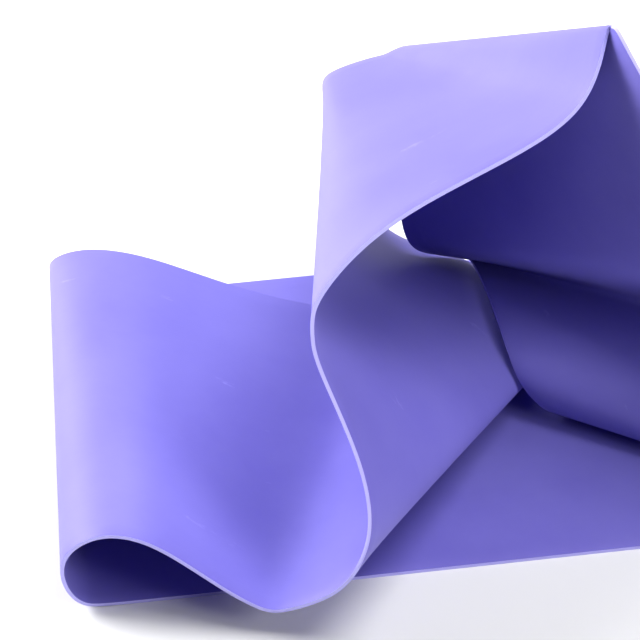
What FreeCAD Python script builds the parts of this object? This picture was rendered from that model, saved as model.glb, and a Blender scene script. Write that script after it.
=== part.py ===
import FreeCAD, Part
import math
import os

# Flat rubber stretch band, laid in loose loops on a table. Millimetres, +Z up.
# The band's lower run lies along X. The origin is on the table, under the middle of the object.

# Driving dimensions
bandWidth = 150.0        # cut width of the strip
bandThickness = 1.2      # thickness of the strip
layGap = 0.6             # air left between two runs that lie on each other
runEnd = 285.0           # how far the lower run reaches to the right
tailRun = 10.0           # how far the near edge of the upper end runs on past the tuck

# The route was settled on a band of this width. A wider band makes larger loops in proportion.
routeWidth = 150.0
widthRatio = bandWidth / routeWidth

# Heights in the route are counted from the middle of a strip that lies flat on the table
tableZ = bandThickness / 2
lapRise = (bandThickness + layGap) / widthRatio

# The upper end lies flat on the lower run, turned by tailTurn. Its near edge comes down at the tuck.
tailTurn = math.radians(21)
tuckX, tuckY = 273.0, -92.0


def tailRow(along, lag):
    """Row of the flat upper end: near point so far along its edge, far point lagging behind it."""
    alongX, alongY = math.cos(tailTurn), math.sin(tailTurn)
    reachX = -(alongY * routeWidth + alongX * lag) / 2
    reachY = (alongX * routeWidth - alongY * lag) / 2
    return (tuckX + alongX * along + reachX, tuckY + alongY * along + reachY, lapRise,
            reachX, reachY, 0)


# The band's route, one row for each place where a straight line is laid across the strip:
# x, y, z of the strip's middle, then the reach from there to the far edge.
route = {
    "floor_run": [
        (runEnd / widthRatio, 0, 0, 0, 75, 0),
        (200, 0, 0, 5, 75, 0),
        (95, 0, 0, 11, 75, 0),
        (22, 0, 0, 9, 75, 0),
    ],
    "left_fold": [
        (-30, 0, 0, 8, 75, 0),
        (-80, 0, 0, 7.5, 75, 0),
        (-87.5, 0, 1.9, 6.5, 75, 1),
        (-93, 0, 7.4, 5.5, 75, 1),
        (-95.5, 0, 15.9, 5.5, 75.5, -1),
        (-93, -1, 23.4, 5, 76, -4),
    ],
    "arch": [
        (-82, -3, 29.4, 5, 76, -5.5),
        (-65, -7.5, 27.4, 7, 75.5, -5),
    ],
    "valley": [
        (-42, -15, 14.4, 11, 75, -2.5),
        (-23.5, -21, 7.9, 17, 73.5, -1.5),
        (-9, -25.5, 7.4, 25.5, 70.5, -2),
        (1, -29, 12.4, 20, 72.5, -7),
    ],
    "hook": [
        (19, -35, 16.4, 32.5, 67.5, -12.5),
        (32.5, -41.5, 15.4, 45, 61, -15.5),
        (36.5, -39.5, 26.9, 43.5, 60.5, -16),
    ],
    "hook_return": [
        (21.5, -18, 41.4, 30, 70.5, -19.5),
        (4, -0.5, 50.4, 23.5, 66, -32.5),
    ],
    "side_bulge": [
        (-4.5, 11.5, 61.4, 15.5, 73.5, -27.5),
        (-5.5, 19.5, 71.4, 14, 77.5, -22.5),
        (-4, 23.5, 76.9, 13.5, 78, -21),
        (1, 28.5, 83.9, 8, 76, -23),
        (11.5, 33.5, 89.9, 0, 72.5, -26),
    ],
    "tall_face": [
        (34.5, 40, 94.4, -8, 69, -28.5),
        (51.5, 45, 98.9, -20.5, 64.5, -33),
    ],
    "ridge": [
        (56, 51, 109.4, -22.5, 59.5, -43),
        (59, 51.5, 111.9, -20.5, 59.5, -43.5),
        (61.5, 50, 112.4, -19, 60, -44),
        (63, 46.5, 110.4, -18.5, 58.5, -45.5),
    ],
    "rear_wall": [
        (58, 31.5, 99.9, -26, 49.5, -51),
        (71, -3, 64.9, -43.5, 56.5, -34.5),
    ],
    "rear_valley": [
        (80.5, -6, 56.9, -45, 57, -32),
    ],
    "hump": [
        (118.5, -6, 39.4, -70, 59.5, -17.5),
        (128, -13, 30.4, -75.5, 63, -8.5),
        (130, -48.5, 25.9, -77.5, 51, 4),
    ],
    "front_tuck": [
        (133.5, -65, 11.9, -79, 52.5, 8),
        (140.5, -65.5, 2.9, -73.5, 52, 0.5),
        tailRow(-36, 118.5),
    ],
    "tail": [
        tailRow(0, 103),
        tailRow(tailRun / widthRatio / 2, 51.5),
        tailRow(tailRun / widthRatio, 0),
    ],
}

# These stretches lie flat between straight cut edges, so they are cut from a plane
flatStretches = ("floor_run", "tail")
sectionsPerRow = 6       # cross-sections made between two rows of the route


def allRows():
    """Route rows in order, with the index of the first row of each stretch."""
    rows = []
    firstRow = {}
    for name, stretch in route.items():
        firstRow[name] = len(rows)
        for x, y, z, reachX, reachY, reachZ in stretch:
            middle = FreeCAD.Vector(x, y, z) * widthRatio + FreeCAD.Vector(0, 0, tableZ)
            reach = FreeCAD.Vector(reachX, reachY, reachZ) * widthRatio
            rows.append((middle, reach))
    return rows, firstRow


def bsplineWeights(t):
    """Weights of four rows in a row for a uniform cubic B-spline."""
    return (
        (1 - t) ** 3 / 6,
        (3 * t ** 3 - 6 * t ** 2 + 4) / 6,
        (-3 * t ** 3 + 3 * t ** 2 + 3 * t + 1) / 6,
        t ** 3 / 6,
    )


def rowAt(rows, index):
    """A row of the route, carried on in a straight line past either end."""
    last = len(rows) - 1
    if index < 0:
        return tuple(rows[0][k] * 2 - rows[1][k] for k in (0, 1))
    if index > last:
        return tuple(rows[last][k] * 2 - rows[last - 1][k] for k in (0, 1))
    return rows[index]


def lineAcross(rows, place):
    """Middle of the strip and its reach to the far edge at any place along the route."""
    index = min(int(place), len(rows) - 2)
    middle = FreeCAD.Vector()
    reach = FreeCAD.Vector()
    for step, weight in enumerate(bsplineWeights(place - index)):
        row = rowAt(rows, index + step - 1)
        middle = middle + row[0] * weight
        reach = reach + row[1] * weight
    return middle, reach


def crossSection(rows, place):
    """Closed rectangle across the strip: the band's width by its thickness."""
    nudge = 0.01
    middle, reach = lineAcross(rows, place)
    ahead = lineAcross(rows, min(place + nudge, len(rows) - 1))[0]
    behind = lineAcross(rows, max(place - nudge, 0))[0]
    faceNormal = (ahead - behind).cross(reach)
    faceNormal.normalize()
    rise = faceNormal * (bandThickness / 2)
    corners = [middle - reach - rise, middle + reach - rise,
               middle + reach + rise, middle - reach + rise]
    return Part.makePolygon(corners + corners[:1])


def makeFold(rows, start, end):
    """Solid of the strip between two places on the route, smooth along its length."""
    count = round((end - start) * sectionsPerRow)
    sections = []
    for step in range(count + 1):
        sections.append(crossSection(rows, start + (end - start) * step / count))
    return Part.makeLoft(sections, True, False)


def makeFlat(rows, start, end):
    """Solid of the strip between two places on the route, where it lies flat."""
    (startMiddle, startReach), (endMiddle, endReach) = lineAcross(rows, start), lineAcross(rows, end)
    corners = [startMiddle - startReach, startMiddle + startReach,
               endMiddle + endReach, endMiddle - endReach]
    outline = Part.Face(Part.makePolygon(corners + corners[:1]))
    outline.translate(FreeCAD.Vector(0, 0, -bandThickness / 2))
    return outline.extrude(FreeCAD.Vector(0, 0, bandThickness))


def buildStretches():
    """Every named stretch of the band, where the route puts it."""
    rows, firstRow = allRows()
    names = list(route)
    ends = [firstRow[name] for name in names[1:]] + [len(rows) - 1]
    stretches = {}
    for name, end in zip(names, ends):
        make = makeFlat if name in flatStretches else makeFold
        stretches[name] = make(rows, firstRow[name], end)
    return stretches


os.makedirs("parts", exist_ok=True)
stretches = buildStretches()

# The object's middle comes over the origin
box = Part.makeCompound(list(stretches.values())).BoundBox
toOrigin = FreeCAD.Vector(-box.Center.x, -box.Center.y, 0)
for name, shape in stretches.items():
    shape.translate(toOrigin)
    shape.exportStep("parts/" + name + ".step")
    print(name, "volume", round(shape.Volume), "valid", shape.isValid())
print("moved by", toOrigin, "size", box.XLength, box.YLength, box.ZMax)
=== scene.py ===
import bpy, math
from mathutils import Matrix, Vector


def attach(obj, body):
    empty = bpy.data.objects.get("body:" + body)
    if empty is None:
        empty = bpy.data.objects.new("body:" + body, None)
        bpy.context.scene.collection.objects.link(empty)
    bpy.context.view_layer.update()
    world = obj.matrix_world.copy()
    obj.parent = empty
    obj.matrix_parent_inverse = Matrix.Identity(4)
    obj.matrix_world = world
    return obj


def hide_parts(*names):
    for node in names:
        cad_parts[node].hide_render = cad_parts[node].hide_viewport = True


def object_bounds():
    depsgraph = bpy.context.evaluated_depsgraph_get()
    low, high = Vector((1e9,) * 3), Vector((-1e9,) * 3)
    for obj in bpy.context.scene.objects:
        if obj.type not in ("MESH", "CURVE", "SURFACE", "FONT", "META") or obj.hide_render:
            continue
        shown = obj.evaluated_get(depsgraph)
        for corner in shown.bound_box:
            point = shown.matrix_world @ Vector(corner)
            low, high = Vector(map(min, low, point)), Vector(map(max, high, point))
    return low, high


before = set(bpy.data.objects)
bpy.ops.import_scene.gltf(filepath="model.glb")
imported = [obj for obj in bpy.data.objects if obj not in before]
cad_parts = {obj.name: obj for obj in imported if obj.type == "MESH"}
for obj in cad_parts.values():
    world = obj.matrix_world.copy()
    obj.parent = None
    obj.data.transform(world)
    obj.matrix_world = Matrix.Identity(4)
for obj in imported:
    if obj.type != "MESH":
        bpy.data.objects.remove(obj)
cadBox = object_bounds()

low, high = Vector(cadBox[0]), Vector(cadBox[1])
nodeNames = list(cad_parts)


def pickNothing():
    if bpy.context.object and bpy.context.object.mode != "OBJECT":
        bpy.ops.object.mode_set(mode="OBJECT")
    bpy.ops.object.select_all(action="DESELECT")


# camera: low over the front edge, turned a little so the band runs away to the right
cameraLook = {
    "azimuth": 8.8,           # degrees, turned from looking straight along +Y
    "elevation": 40,
    "distance": 1.1975,
    "focal": 196.9,           # mm
    "aim": (-0.0921, 0.0553, 0),
    "sensor": 36,             # mm
    "clipStart": 0.01,
}


def makeCamera(look):
    bpy.ops.object.camera_add()
    camera = bpy.context.object
    camera.name = "frontCamera"
    turn, rise = math.radians(look["azimuth"]), math.radians(look["elevation"])
    level = math.cos(rise)
    forward = Vector((math.sin(turn) * level, math.cos(turn) * level, -math.sin(rise)))
    aim = Vector(look["aim"])
    camera.location = aim - forward * look["distance"]
    camera.rotation_euler = forward.to_track_quat("-Z", "Y").to_euler()
    camera.data.lens = look["focal"]
    camera.data.sensor_width = look["sensor"]
    camera.data.clip_start = look["clipStart"]
    bpy.context.scene.camera = camera
    print("camera at", [round(c, 3) for c in camera.location])


makeCamera(cameraLook)

# the band
band = {
    "width": 0.150,
    "thickness": 0.0012,
    "across": 28,             # faces across the width
    "perRow": 14,             # faces between two rows of the route
    "edgeRound": 0.00022,     # the cut edges are only just softened
    "edgeMargin": 0.0005,     # how far in from its edge a face still counts as cut edge
    "smoothAngle": 40,
    "bevelAngle": 60,
}
tableZ = band["thickness"] / 2

# The route is in millimetres
routeWidth = 150
lapRise = 1.8               # middle to middle where the strip lies on itself
tailTurn = math.radians(21)
tuckX, tuckY = 273, -92     # where the near edge of the upper end comes down


# row of the flat upper end: near point so far along its edge, far point lagging behind it
def tailRow(along, lag):
    alongX, alongY = math.cos(tailTurn), math.sin(tailTurn)
    reachX = -(alongY * routeWidth + alongX * lag) / 2
    reachY = (alongX * routeWidth - alongY * lag) / 2
    return tuckX + alongX * along + reachX, tuckY + alongY * along + reachY, lapRise, reachX, reachY, 0


# Rows of the route: middle of the strip above the flat lay, then the reach to its far edge
bandRoute = [
    # floor run
    (285, 0, 0, 0, 75, 0), (200, 0, 0, 5, 75, 0), (95, 0, 0, 11, 75, 0), (22, 0, 0, 9, 75, 0),
    # left fold
    (-30, 0, 0, 8, 75, 0), (-80, 0, 0, 7.5, 75, 0), (-87.5, 0, 1.9, 6.5, 75, 1),
    (-93, 0, 7.4, 5.5, 75, 1), (-95.5, 0, 15.9, 5.5, 75.5, -1), (-93, -1, 23.4, 5, 76, -4),
    # arch
    (-82, -3, 29.4, 5, 76, -5.5), (-65, -7.5, 27.4, 7, 75.5, -5),
    # valley
    (-42, -15, 14.4, 11, 75, -2.5), (-23.5, -21, 7.9, 17, 73.5, -1.5),
    (-9, -25.5, 7.4, 25.5, 70.5, -2), (1, -29, 12.4, 20, 72.5, -7),
    # hook
    (19, -35, 16.4, 32.5, 67.5, -12.5), (32.5, -41.5, 15.4, 45, 61, -15.5),
    (36.5, -39.5, 26.9, 43.5, 60.5, -16),
    # hook return
    (21.5, -18, 41.4, 30, 70.5, -19.5), (4, -0.5, 50.4, 23.5, 66, -32.5),
    # side bulge
    (-4.5, 11.5, 61.4, 15.5, 73.5, -27.5), (-5.5, 19.5, 71.4, 14, 77.5, -22.5),
    (-4, 23.5, 76.9, 13.5, 78, -21), (1, 28.5, 83.9, 8, 76, -23), (11.5, 33.5, 89.9, 0, 72.5, -26),
    # tall face
    (34.5, 40, 94.4, -8, 69, -28.5), (51.5, 45, 98.9, -20.5, 64.5, -33),
    # ridge
    (56, 51, 109.4, -22.5, 59.5, -43), (59, 51.5, 111.9, -20.5, 59.5, -43.5),
    (61.5, 50, 112.4, -19, 60, -44), (63, 46.5, 110.4, -18.5, 58.5, -45.5),
    # rear wall
    (58, 31.5, 99.9, -26, 49.5, -51), (71, -3, 64.9, -43.5, 56.5, -34.5),
    # rear valley
    (80.5, -6, 56.9, -45, 57, -32),
    # hump
    (118.5, -6, 39.4, -70, 59.5, -17.5), (128, -13, 30.4, -75.5, 63, -8.5),
    (130, -48.5, 25.9, -77.5, 51, 4),
    # front tuck
    (133.5, -65, 11.9, -79, 52.5, 8), (140.5, -65.5, 2.9, -73.5, 52, 0.5), tailRow(-36, 118.5),
    # tail
    tailRow(0, 103), tailRow(5, 51.5), tailRow(10, 0),
]


def routeRow(index):
    last = len(bandRoute) - 1
    if 0 <= index <= last:
        x, y, z, reachX, reachY, reachZ = bandRoute[index]
        middle = Vector((x, y, z)) / 1000 + Vector((0, 0, tableZ))
        return middle, Vector((reachX, reachY, reachZ)) / 1000
    end, step = (0, 1) if index < 0 else (last, -1)
    first, second = routeRow(end), routeRow(end + step)
    return first[0] * 2 - second[0], first[1] * 2 - second[1]


# middle and reach of the strip at a place along the route, on a smooth cubic B-spline
def lineAcross(place):
    index = min(int(place), len(bandRoute) - 2)
    t = place - index
    weights = ((1 - t) ** 3 / 6, (3 * t ** 3 - 6 * t ** 2 + 4) / 6,
               (-3 * t ** 3 + 3 * t ** 2 + 3 * t + 1) / 6, t ** 3 / 6)
    rows = [routeRow(index + step) for step in (-1, 0, 1, 2)]
    middle = sum((row[0] * w for row, w in zip(rows, weights)), Vector())
    reach = sum((row[1] * w for row, w in zip(rows, weights)), Vector())
    return middle, reach


def layBand():
    columns = (len(bandRoute) - 1) * band["perRow"]
    pickNothing()
    bpy.ops.mesh.primitive_grid_add(x_subdivisions=columns, y_subdivisions=band["across"], size=1,
                                    calc_uvs=True)
    strip = bpy.context.object
    strip.name = "rubberBand"
    lines = [lineAcross(c / band["perRow"]) for c in range(columns + 1)]
    nearRun, farRun = [0.0], [0.0]          # flat length along each cut edge
    for before, after in zip(lines, lines[1:]):
        nearRun.append(nearRun[-1] + ((after[0] - after[1]) - (before[0] - before[1])).length)
        farRun.append(farRun[-1] + ((after[0] + after[1]) - (before[0] + before[1])).length)
    mesh = strip.data
    flatPlace = {}
    for vertex in mesh.vertices:
        column = round((vertex.co.x + 0.5) * columns)
        across = vertex.co.y * 2
        middle, reach = lines[column]
        vertex.co = middle + reach * across
        run = nearRun[column] * (1 - across) / 2 + farRun[column] * (1 + across) / 2
        flatPlace[vertex.index] = (run, across * band["width"] / 2)
    layer = mesh.uv_layers.active
    layer.name = "flatCut"
    for loop in mesh.loops:
        layer.data[loop.index].uv = flatPlace[loop.vertex_index]
    length = (nearRun[-1] + farRun[-1]) / 2
    print("band laid, length", round(length, 4))
    return strip, length


def thicken(strip):
    pickNothing()
    strip.select_set(True)
    bpy.context.view_layer.objects.active = strip
    solid = strip.modifiers.new("thickness", "SOLIDIFY")
    solid.thickness = band["thickness"]
    solid.offset = 0
    solid.use_even_offset = True
    solid.use_rim = True
    bpy.ops.object.modifier_apply(modifier=solid.name)
    bevel = strip.modifiers.new("edgeRound", "BEVEL")
    bevel.width = band["edgeRound"]
    bevel.segments = 2
    bevel.limit_method = "ANGLE"
    bevel.angle_limit = math.radians(band["bevelAngle"])
    bpy.ops.object.modifier_apply(modifier=bevel.name)
    bpy.ops.object.shade_smooth_by_angle(angle=math.radians(band["smoothAngle"]))


# the strip's middle goes over the frame's origin, as the object's box has it
def centreOnFrame(strip):
    shift = Vector((0, 0, 0))
    for axis in (0, 1):
        spots = [vertex.co[axis] for vertex in strip.data.vertices]
        shift[axis] = (low[axis] + high[axis]) / 2 - (min(spots) + max(spots)) / 2
    for vertex in strip.data.vertices:
        vertex.co += shift


strip, bandLength = layBand()
thicken(strip)
centreOnFrame(strip)

# rubber
rubber = {
    "deep": (0.146, 0.126, 0.500, 1),      # colour of the rubber where it is clean
    "bloom": (0.176, 0.156, 0.540, 1),     # and where a little talc has stayed on it
    "scuff": (0.42, 0.40, 0.86, 1),
    # painted highlight: pale colour painted on the cut edge where the light catches its rounded edge
    "paintedEdgeHighlight": (0.46, 0.43, 0.92, 1),
    "sheenTint": (0.62, 0.58, 1.0, 1),
    "specularTint": (0.74, 0.70, 1.0, 1),
    "ior": 1.5,
    "specular": 0.34,
    "sheen": 0.16,
    "sheenRoughness": 0.45,
    "roughness": (0.46, 0.60),
    "scuffRoughness": 0.2,  # added where the rubber is rubbed
    "scuffSpace": (26, 90, 1),
    "scuffTurn": 0.5,
    "scuffRange": (0.66, 0.76, 0.35),      # noise from, noise to, strength there
    "cloudScale": 14,       # patches of bloom, per metre
    "lineDraw": 6,          # the lines' own noise along the strip, per metre
    "lineScale": 900,       # fine lines left by the rollers, per metre of width
    "grainScale": 2600,     # tooth of the surface, per metre
    "lineBump": (0.25, 0.00006),           # strength, height
    "grainBump": (0.35, 0.00004),
}


def addNode(tree, kind, settings=None, values=None):
    node = tree.nodes.new(kind)
    for key, value in (settings or {}).items():
        setattr(node, key, value)
    for key, value in (values or {}).items():
        node.inputs[key].default_value = value
    return node


def makeRubber():
    material = bpy.data.materials.new("bandRubber")
    material.use_nodes = True
    tree = material.node_tree
    links = tree.links
    shader = tree.nodes["Principled BSDF"]
    shader.inputs["IOR"].default_value = rubber["ior"]
    shader.inputs["Sheen Weight"].default_value = rubber["sheen"]
    shader.inputs["Specular IOR Level"].default_value = rubber["specular"]
    shader.inputs["Sheen Roughness"].default_value = rubber["sheenRoughness"]
    shader.inputs["Sheen Tint"].default_value = rubber["sheenTint"]
    shader.inputs["Specular Tint"].default_value = rubber["specularTint"]
    flat = addNode(tree, "ShaderNodeUVMap", {"uv_map": "flatCut"})

    # patches of bloom
    clouds = addNode(tree, "ShaderNodeTexNoise", values={
        "Scale": rubber["cloudScale"], "Detail": 5, "Roughness": 0.62})
    links.new(flat.outputs["UV"], clouds.inputs["Vector"])
    cloudRange = addNode(tree, "ShaderNodeMapRange", values={"From Min": 0.36, "From Max": 0.68})
    links.new(clouds.outputs["Fac"], cloudRange.inputs["Value"])
    tone = addNode(tree, "ShaderNodeMix", {"data_type": "RGBA"},
                   {6: rubber["deep"], 7: rubber["bloom"]})
    links.new(cloudRange.outputs["Result"], tone.inputs["Factor"])

    # lines along the strip: noise drawn out along its length
    stretched = addNode(tree, "ShaderNodeMapping", values={
        "Scale": (rubber["lineDraw"], rubber["lineScale"], 1)})
    links.new(flat.outputs["UV"], stretched.inputs["Vector"])
    lines = addNode(tree, "ShaderNodeTexNoise", values={"Scale": 1, "Detail": 3, "Roughness": 0.5})
    links.new(stretched.outputs["Vector"], lines.inputs["Vector"])
    grain = addNode(tree, "ShaderNodeTexNoise", values={
        "Scale": rubber["grainScale"], "Detail": 2, "Roughness": 0.6})
    links.new(flat.outputs["UV"], grain.inputs["Vector"])

    # rare short rub marks
    rubSpace = addNode(tree, "ShaderNodeMapping", values={
        "Scale": rubber["scuffSpace"], "Rotation": (0, 0, rubber["scuffTurn"])})
    links.new(flat.outputs["UV"], rubSpace.inputs["Vector"])
    rubs = addNode(tree, "ShaderNodeTexNoise", values={"Scale": 1, "Detail": 6, "Roughness": 0.7})
    links.new(rubSpace.outputs["Vector"], rubs.inputs["Vector"])
    noiseFrom, noiseTo, strength = rubber["scuffRange"]
    rubRange = addNode(tree, "ShaderNodeMapRange", values={
        "From Min": noiseFrom, "From Max": noiseTo, "To Max": strength})
    links.new(rubs.outputs["Fac"], rubRange.inputs["Value"])
    marked = addNode(tree, "ShaderNodeMix", {"data_type": "RGBA"}, {7: rubber["scuff"]})
    links.new(rubRange.outputs["Result"], marked.inputs["Factor"])
    links.new(tone.outputs[2], marked.inputs[6])

    # painted highlight: the cut edge is painted paler than the faces, standing in for the light caught
    # along its rounded edge
    edgeHighlightMask = addNode(tree, "ShaderNodeAttribute", {"attribute_name": "paintedEdgeHighlight"})
    edgeHighlighted = addNode(tree, "ShaderNodeMix", {"data_type": "RGBA"}, {7: rubber["paintedEdgeHighlight"]})
    links.new(edgeHighlightMask.outputs["Fac"], edgeHighlighted.inputs["Factor"])
    links.new(marked.outputs[2], edgeHighlighted.inputs[6])
    links.new(edgeHighlighted.outputs[2], shader.inputs["Base Color"])

    # the bloom is duller, and the rub marks duller still
    smoothest, dullest = rubber["roughness"]
    gloss = addNode(tree, "ShaderNodeMapRange", values={
        "From Min": 0.25, "From Max": 0.75, "To Min": smoothest, "To Max": dullest})
    links.new(clouds.outputs["Fac"], gloss.inputs["Value"])
    rougher = addNode(tree, "ShaderNodeMath", {"operation": "MULTIPLY_ADD"},
                      {1: rubber["scuffRoughness"]})
    links.new(rubRange.outputs["Result"], rougher.inputs[0])
    links.new(gloss.outputs["Result"], rougher.inputs[2])
    links.new(rougher.outputs["Value"], shader.inputs["Roughness"])

    # fine relief: the lines, then the tooth over them
    strength, height = rubber["lineBump"]
    lineBump = addNode(tree, "ShaderNodeBump", values={"Strength": strength, "Distance": height})
    links.new(lines.outputs["Fac"], lineBump.inputs["Height"])
    strength, height = rubber["grainBump"]
    grainBump = addNode(tree, "ShaderNodeBump", values={"Strength": strength, "Distance": height})
    links.new(grain.outputs["Fac"], grainBump.inputs["Height"])
    links.new(lineBump.outputs["Normal"], grainBump.inputs["Normal"])
    links.new(grainBump.outputs["Normal"], shader.inputs["Normal"])
    return material


# faces that get the painted edge highlight are those whose points all lie right at the strip's edge
def markPaintedEdgeHighlight(strip):
    mesh = strip.data
    layer = mesh.attributes.new("paintedEdgeHighlight", "FLOAT", "FACE")
    flat = mesh.uv_layers["flatCut"].data
    edgeLine = band["width"] / 2 - band["edgeMargin"]
    for face in mesh.polygons:
        offsets = [abs(flat[loop].uv.y) for loop in face.loop_indices]
        layer.data[face.index].value = 1.0 if min(offsets) > edgeLine else 0.0


markPaintedEdgeHighlight(strip)
strip.data.materials.clear()
strip.data.materials.append(makeRubber())
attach(strip, "root")
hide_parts(*nodeNames)

# stage: pale floor and soft studio light
studio = {
    "floor": 6.0,
    "floorColour": (0.78, 0.78, 0.78, 1),
    "floorRoughness": 0.8,
    "aim": (0, 0, 0.05),      # where the lamps point
    "world": 0.04,
    "lamps": [                # name, place, size, watts
        ("keyLight", (-1.08, 0.60, 0.66), 0.85, 40),
        ("topLight", (0.30, -0.10, 1.30), 0.7, 15),
        ("rightLight", (0.78, -0.86, 0.72), 0.5, 8.5),
        ("rearLight", (0.30, 0.95, 0.95), 0.6, 9),
    ],
}


def makeFloor():
    pickNothing()
    bpy.ops.mesh.primitive_plane_add(size=studio["floor"], location=(0, 0, 0))
    floor = bpy.context.object
    floor.name = "paleFloor"
    material = bpy.data.materials.new("paleFloor")
    material.use_nodes = True
    shader = material.node_tree.nodes["Principled BSDF"]
    shader.inputs["Base Color"].default_value = studio["floorColour"]
    shader.inputs["Roughness"].default_value = studio["floorRoughness"]
    floor.data.materials.append(material)


def addSoftbox(name, place, size, power):
    bpy.ops.object.light_add(type="AREA", location=place)
    lamp = bpy.context.object
    lamp.name = name
    lamp.data.shape = "SQUARE"
    lamp.data.size = size
    lamp.data.energy = power
    lamp.rotation_euler = (Vector(studio["aim"]) - Vector(place)).to_track_quat("-Z", "Y").to_euler()


def makeAir():
    world = bpy.data.worlds.new("studioAir")
    world.use_nodes = True
    background = world.node_tree.nodes["Background"]
    background.inputs["Color"].default_value = (1, 1, 1, 1)
    background.inputs["Strength"].default_value = studio["world"]
    bpy.context.scene.world = world


makeFloor()
for name, place, size, power in studio["lamps"]:
    addSoftbox(name, place, size, power)
makeAir()
bpy.context.scene.view_settings.view_transform = "Standard"
print("stage and lights ready")
